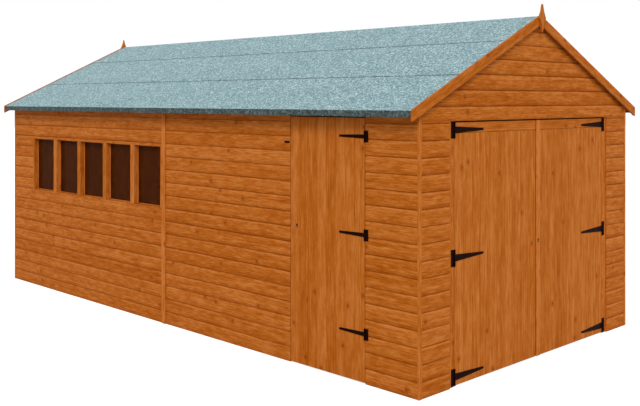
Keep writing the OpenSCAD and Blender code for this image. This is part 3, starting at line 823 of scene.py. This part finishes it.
def end_frames():
    """The batten frames of the front gable and of the whole rear wall."""
    tie_top = front_door_h + GABLE_RAIL_H
    rail_v = BATTEN / math.cos(PITCH)
    under_rails = [(p - UP * rail_v, outwards) for p, outwards in both_slopes]
    for name, node_name, wall, whole in (("front_gable_battens", "front_gable_frame", front_wall, False),
                                         ("rear_battens", "rear_frame", rear_wall, True)):
        into = new_joined()
        sticks_on(into, wall, [(-reach, reach, front_door_h, tie_top)], both_slopes)
        spans = [(tie_top, ridge_under)]
        if whole:
            sticks_on(into, wall, [(-reach, reach, 0, BATTEN), (-reach, reach, MID_RAIL, MID_RAIL + BATTEN)])
            spans += [(BATTEN, MID_RAIL), (MID_RAIL + BATTEN, front_door_h)]
        sloping_rails(into, wall, tie_top, rail_v)
        for u in stud_starts(-reach, reach):
            # A stud whose top would be cut to a sliver under the slope is left out
            top = ridge_under - rail_v - max(abs(u), abs(u + BATTEN)) * slope
            for z0, z1 in spans:
                if top >= z0 + 5 * MM or z1 <= front_door_h:
                    stick(into, wall.at(u, cladding_t, z0), wall.at(u + BATTEN, frame_back, z1), UP,
                          wall.inwards, under_rails)
        finish_piece(name, into, stained_inner if whole else stained,
                     nodes=[node_name])


end_frames()


def door_posts():
    """The frames beside the front doors, whose bare posts carry the hinges."""
    lo, hi = low("door_post_frames"), high("door_post_frames")
    post_inner = inner_x("door_post_frames")
    post_outer = inner_x("front_side_cladding") + POST_LAP
    into = new_joined()
    for side in (1, -1):
        sticks = [(post_inner, post_outer, 0, hi.z, UP), (hi.x - BATTEN, hi.x, 0, hi.z, UP)]
        for z in (0, MID_RAIL, hi.z - BATTEN):
            sticks.append((post_outer, hi.x - BATTEN, z, z + BATTEN, ALONG_X))
        for x0, x1, z0, z1, along in sticks:
            stick(into, (side * x0, lo.y, z0), (side * x1, hi.y, z1), along, ALONG_Y)
    finish_piece("door_posts", into, stained, nodes=["door_post_frames"])


door_posts()


def roof_boarding():
    """Boards laid from ridge to eaves, side by side along the roof, with a V under each joint."""
    y0, y1 = deck_low.y, deck_high.y
    count = round((y1 - y0) / ROOF_BOARD_W)
    pitch = (y1 - y0) / count
    eaves = deck_high.x
    for name, node_name, side in (("right_roof_matchboards", "right_roof_boards", 1),
                                  ("left_roof_matchboards", "left_roof_boards", -1)):
        into = new_joined()
        outline = [(0, ridge_under), (side * eaves, ridge_under - eaves * slope),
                   (side * eaves, deck_high.z - eaves * slope), (0, deck_high.z)]
        out = on_side(RIGHT_OUT, side)

        def lower_long(e):
            way = (e.verts[0].co - e.verts[1].co).normalized()
            middle = (e.verts[0].co + e.verts[1].co) / 2
            lower = (middle - UP * ridge_under).dot(out) < MM
            return lower and abs(way.y) < 0.1 and abs(way.x) > 0.5

        for i in range(count):
            piece = bmesh.new()
            prism(piece, [Vector((x, y0 + i * pitch, z)) for x, z in outline], ALONG_Y * pitch)
            bmesh.ops.recalc_face_normals(piece, faces=piece.faces[:])
            ease(piece, ROOF_V, lower_long)
            add(into, piece, on_side(RIGHT_DOWN, side), out)
        finish_piece(name, into, stained_inner, nodes=[node_name])


roof_boarding()


# ---------------------------------------------------------------- windows

def windows():
    """The row of lights: sill, head and uprights, with beads inside each pane."""
    x0, x1 = low("window_frame").x, high("window_frame").x
    y0, y1, z0, z1 = window_hole
    pane_low, pane_high = low("window_panes"), high("window_panes")
    sill, top = pane_low.z, pane_high.z
    light_w = (pane_high.y - pane_low.y - (LIGHTS - 1) * MULLION_W) / LIGHTS
    starts = [pane_low.y + i * (light_w + MULLION_W) for i in range(LIGHTS)]

    into = new_joined()
    stick(into, (x0, y0, z0), (x1, y1, sill), ALONG_Y, ALONG_X)
    stick(into, (x0, y0, top), (x1, y1, z1), ALONG_Y, ALONG_X)
    for a, b in zip([y0] + [start + light_w for start in starts], starts + [y1]):
        stick(into, (x0, a, sill), (x1, b, top), UP, ALONG_X)
    finish_piece("window_joinery", into, stained, nodes=["window_frame"])

    into = new_joined()
    for a in starts:
        b = a + light_w
        for p, q, along in (((a, sill), (b, sill + BEAD), ALONG_Y), ((a, top - BEAD), (b, top), ALONG_Y),
                            ((a, sill + BEAD), (a + BEAD, top - BEAD), UP),
                            ((b - BEAD, sill + BEAD), (b, top - BEAD), UP)):
            stick(into, (pane_low.x - BEAD, *p), (pane_low.x, *q), along, ALONG_X, edge=2 * MM)
    finish_piece("glazing_beads", into, stained)
    resurface("window_panes", glass)


def resurface(node_name, material):
    """Gives a CAD node that is kept as it is its own material."""
    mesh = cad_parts[node_name].data
    mesh.materials.clear()
    mesh.materials.append(material)


windows()


# ---------------------------------------------------------------- felt

# The felt's thickness, the bitumen that shows below a lap, and the height of a clout nail's head
LAP_T = 3 * MM
BEAD_W = 5 * MM
NAIL_T = 1 * MM

# How high the felt lifts where it lies uneven
WAVE_H = 0.9 * MM


def slice_along(mesh, y0, y1, count):
    """Cuts a mesh across into equal lengths along the building."""
    for i in range(1, count):
        geom = mesh.verts[:] + mesh.edges[:] + mesh.faces[:]
        place = Vector((0, y0 + (y1 - y0) * i / count, 0))
        bmesh.ops.bisect_plane(mesh, geom=geom, dist=NEARLY, plane_co=place, plane_no=ALONG_Y)


def felt(name, node_name):
    """A strip of felt that lies a little uneven, green on the slope and in a darker copy, painted shade,
    where it turns down or faces under.
    """
    strip = merged_copy(node_name)
    y0, y1 = low(node_name).y, high(node_name).y
    eaves = high("felt_eaves_strips").x
    slice_along(strip, y0, y1, 48)
    strip.normal_update()
    for v in strip.verts:
        inside = y0 + MM < v.co.y < y1 - MM
        if inside and v.normal.z > 0.3:
            v.co.z += WAVE_H * abs(noise.noise(Vector((v.co.x * 3, v.co.y * 2.2, 0))))
        if abs(v.co.x) > eaves - MM / 10:
            v.co.x -= math.copysign(NAIL_T, v.co.x)
    # Faces that turn down or face under take the felt in painted shade
    for f in strip.faces:
        f.material_index = 1 if abs(f.normal.x) > 0.8 or f.normal.z < -0.2 else 0
    bmesh.ops.triangulate(strip, faces=[f for f in strip.faces if len(f.verts) > 4])
    piece = finish_piece(name, strip, felt_green, nodes=[node_name])
    piece.data.materials.append(felt_painted_shade)


def lap_bead(side, x, foot, y0, y1):
    """A ragged bead of bitumen down from the edge of a lap."""
    down, out = on_side(RIGHT_DOWN, side), on_side(RIGHT_OUT, side)
    bead = bmesh.new()
    block(bead, (-MM, y0, 0), (BEAD_W, y1, 2 * MM))
    slice_along(bead, y0, y1, 150)
    for v in bead.verts:
        spread = 0.75 + 0.5 * noise.noise(Vector((side * 3 + x, v.co.y * 9, 1)))
        if v.co.x > 0:
            v.co.x *= spread
            v.co.z *= 0.5
        v.co = foot + down * v.co.x + out * v.co.z + ALONG_Y * v.co.y
    bmesh.ops.recalc_face_normals(bead, faces=bead.faces[:])
    return bead


def felt_laps():
    """Bitumen squeezed out along each lap, and clout nails above it and down the turned edge."""
    beads, nails = bmesh.new(), bmesh.new()
    y0, y1 = deck_low.y, deck_high.y
    drip_x = high("felt_eaves_strips").x - NAIL_T
    drip_z = (low("felt_eaves_strips").z + deck_high.z - deck_high.x * slope) / 2
    for side in (1, -1):
        out = on_side(RIGHT_OUT, side)
        for x in (high("felt_middle_strips").x, high("felt_ridge_strip").x):
            foot = Vector((side * x, 0, deck_high.z - x * slope)) + out * LAP_T * 1.02
            join(beads, lap_bead(side, x, foot, y0, y1))
            above = foot - on_side(RIGHT_DOWN, side) * 38 * MM + out * LAP_T
            nail_row(nails, above, out, y0 + 40 * MM, y1 - 40 * MM, 110 * MM)
        drip = Vector((side * drip_x, 0, drip_z))
        nail_row(nails, drip, ALONG_X * side, y0 + 60 * MM, y1 - 60 * MM, 150 * MM)
    finish_piece("felt_lap_bitumen", beads, bitumen)
    finish_piece("felt_clout_nails", nails, zinc)


def nail_row(into, start, out, y0, y1, pitch, radius=4 * MM):
    """Clout nails along the building, set by eye."""
    count = int((y1 - y0) / pitch)
    for i in range(count + 1):
        y = y0 + (y1 - y0) * i / count + random.uniform(-6, 6) * MM
        head(into, start + ALONG_Y * y, out, radius, NAIL_T)


def head(into, at, out, radius, height, sides=8):
    """A low domed head of a nail, screw or bolt, standing out of a face."""
    turn = UP.rotation_difference(out).to_matrix().to_4x4()
    bmesh.ops.create_cone(into, cap_ends=True, segments=sides, radius1=radius, radius2=radius * 0.62,
                          depth=height * 1.5, matrix=Matrix.Translation(at + out * height * 0.25) @ turn)


for strip_name, strip_node in (("eaves_felt", "felt_eaves_strips"), ("middle_felt", "felt_middle_strips"),
                               ("ridge_felt", "felt_ridge_strip")):
    felt(strip_name, strip_node)
felt_laps()


# ---------------------------------------------------------------- ironmongery

for node_name in ("side_door_straps", "side_hinge_plates", "left_leaf_straps", "right_leaf_straps",
                  "front_hinge_plates", "side_door_lock", "front_door_lock", "turn_button"):
    resurface(node_name, iron)

KNUCKLE_R = 6 * MM
SCREW_R = 4 * MM
BOLT_R = 7 * MM

# Along a strap: its bolt and its screws, as shares of its length from the pin. Across a plate: the
# line of its screws, as a share of its width
BOLT_PLACE = 0.14
SCREW_PLACES = (0.38, 0.66, 0.95)
PLATE_LINE = 0.62


def fixings(solids, pin, way, out, on_plate):
    """Heads along each strap, a coach bolt nearest its pin and then screws, or down each plate.

    pin is a point on the hinge's axis, way leads from it along the iron, and out is away from the
    wall.
    """
    heads = bmesh.new()
    for points in solids:
        length = max((p - pin).dot(way) for p in points)
        face = max((p - pin).dot(out) for p in points if (p - pin).dot(way) > 0.8 * length)
        z0, z1 = min(p.z for p in points), max(p.z for p in points)
        if on_plate:
            heights = (z0 + 12 * MM, z0 + 32 * MM, z1 - 32 * MM, z1 - 12 * MM)
            places = [(PLATE_LINE * length, z, SCREW_R) for z in heights]
        else:
            middle = (z0 + z1) / 2
            places = [(BOLT_PLACE * length, middle, BOLT_R)]
            places += [(share * length, middle, SCREW_R) for share in SCREW_PLACES]
        for u, z, radius in places:
            head(heads, pin + way * u + out * face + UP * z, out, radius, radius * 0.4, 10)
    return heads


def tee_hinges(part, plate_node, pin, way, out):
    """The screws of a door's straps, which swing with it, and of its plates, which stay."""
    straps = solid_points(part + "_straps")
    finish_piece(part + "_strap_screws", fixings(straps, pin, way, out, False), iron, part)
    plates = [points for points in solid_points(plate_node) if abs((points[0] - pin).dot(way)) < 0.1]
    finish_piece(part + "_plate_screws", fixings(plates, pin, -way, out, True), iron)


pin_y = low("side_door_straps").y + KNUCKLE_R
tee_hinges("side_door", "side_hinge_plates", Vector((-half_w, pin_y, 0)), ALONG_Y, -ALONG_X)
pin_x = high("right_leaf_straps").x - KNUCKLE_R
tee_hinges("left_leaf", "front_hinge_plates", Vector((-pin_x, -half_l, 0)), ALONG_X, -ALONG_Y)
tee_hinges("right_leaf", "front_hinge_plates", Vector((pin_x, -half_l, 0)), -ALONG_X, -ALONG_Y)


def lock_barrel(name, body, node_name, out):
    """A bright lock barrel with its keyway, set low in the lock's plate."""
    lo, hi = low(node_name), high(node_name)
    at = (lo + hi) / 2 + out * abs((hi - lo).dot(out)) / 2 - UP * 4 * MM
    barrel = bmesh.new()
    head(barrel, at, out, 5 * MM, 1.2 * MM, 16)
    finish_piece(name + "_barrel", barrel, zinc, body)
    keyway = bmesh.new()
    across = out.cross(UP)
    block(keyway, at - across * 0.6 * MM - UP * 3 * MM,
          at + across * 0.6 * MM + UP * 3 * MM + out * 1.6 * MM)
    finish_piece(name + "_keyway", keyway, iron, body)


lock_barrel("side_door_lock", "side_door", "side_door_lock", -ALONG_X)
lock_barrel("front_door_lock", "right_leaf", "front_door_lock", -ALONG_Y)


def clad_nails():
    """Two nails to a course at every stud, punched nearly flush."""
    nails = bmesh.new()
    runs = [(wall, stud_starts(u0, u1), False)
            for wall, u0, u1 in ((right_wall, -inner_l, joint_y), (right_wall, joint_y, inner_l),
                                 (left_wall, joint_y, inner_l), (left_wall, door_y1, joint_y),
                                 (left_wall, -inner_l, door_y0))]
    runs += [(wall, stud_starts(-reach, reach), True) for wall in (rear_wall, front_wall)]
    y0, y1, z0, z1 = window_hole
    for wall, starts, gable in runs:
        for k in range(math.ceil(ridge_under / COVER)):
            for z in (k * COVER + 26 * MM, k * COVER + 84 * MM):
                for start in starts:
                    u = start + BATTEN / 2
                    top = ridge_under - abs(u) * slope - 20 * MM if gable else wall_plate
                    in_window = wall is left_wall and y0 - 5 * MM < u < y1 + 5 * MM and z0 < z < z1
                    in_doorway = wall is front_wall and z < front_door_h and abs(u) < half_w - 80 * MM
                    if z < top and not in_window and not in_doorway:
                        spot = wall.at(u + random.uniform(-4, 4) * MM, 0, z + random.uniform(-3, 3) * MM)
                        head(nails, spot, -wall.inwards, 1.9 * MM, 0.4 * MM, 6)
    finish_piece("cladding_nails", nails, zinc)


clad_nails()


# ---------------------------------------------------------------- floor, light and camera

def seen_directly(tree, strength, rest):
    """A strength for rays that show the background, in the eye, a reflection or glass, and the rest."""
    path = add_node(tree, "LightPath")
    seen = path.outputs["Is Camera Ray"]
    for ray in ("Is Glossy Ray", "Is Transmission Ray"):
        seen = add_node(tree, "Math", {"operation": "MAXIMUM"}, s0=seen, s1=path.outputs[ray]).outputs[0]
    return add_node(tree, "MapRange", inputs={"To Min": rest, "To Max": strength}, Value=seen).outputs[0]


def studio():
    """White paper under and behind the building, a soft key light from the front left, and the camera."""
    material, tree, shader = new_material(
        "white studio paper", {"Base Color": rgb("#BCBCBC"), "Roughness": 1.0, "Specular IOR Level": 0.0})
    glow = add_node(tree, "Emission", inputs={"Color": rgb("#FFFFFF")},
                    Strength=seen_directly(tree, 0.75, 0.0))
    both = add_node(tree, "AddShader", s0=shader, s1=glow)
    tree.links.new(both.outputs[0], tree.nodes["Material Output"].inputs["Surface"])
    sheet = bmesh.new()
    bmesh.ops.create_grid(sheet, x_segments=1, y_segments=1, size=60)
    bmesh.ops.translate(sheet, verts=sheet.verts[:], vec=(0, 0, -0.5 * MM))
    mesh = bpy.data.meshes.new("floor")
    sheet.to_mesh(mesh)
    sheet.free()
    mesh.materials.append(material)
    floor = bpy.data.objects.new("floor", mesh)
    bpy.context.scene.collection.objects.link(floor)

    world = bpy.data.worlds.new("studio")
    bpy.context.scene.world = world
    world.use_nodes = True
    sky = world.node_tree
    sky.nodes["Background"].inputs["Color"].default_value = rgb("#FFFFFF")
    sky.links.new(seen_directly(sky, 1.0, 0.745), sky.nodes["Background"].inputs["Strength"])

    sun = bpy.data.lights.new("key", "SUN")
    sun.energy = 1.62
    sun.angle = math.radians(20)
    lamp = bpy.data.objects.new("key", sun)
    lamp.rotation_euler = (math.radians(52), 0, math.radians(-45))
    bpy.context.scene.collection.objects.link(lamp)

    camera = bpy.data.cameras.new("camera")
    camera.lens = 50.93
    camera.sensor_width = 36
    camera.shift_y = -0.1613
    camera.clip_end = 200
    stand = bpy.data.objects.new("camera", camera)
    stand.location = (-4.8711 - half_w, -3.9701 - half_l, 2.0758)
    stand.rotation_euler = (math.radians(90), 0, math.radians(-44.583))
    bpy.context.scene.collection.objects.link(stand)
    bpy.context.scene.camera = stand
    bpy.context.scene.view_settings.view_transform = "Standard"


studio()

bpy.context.view_layer.update()
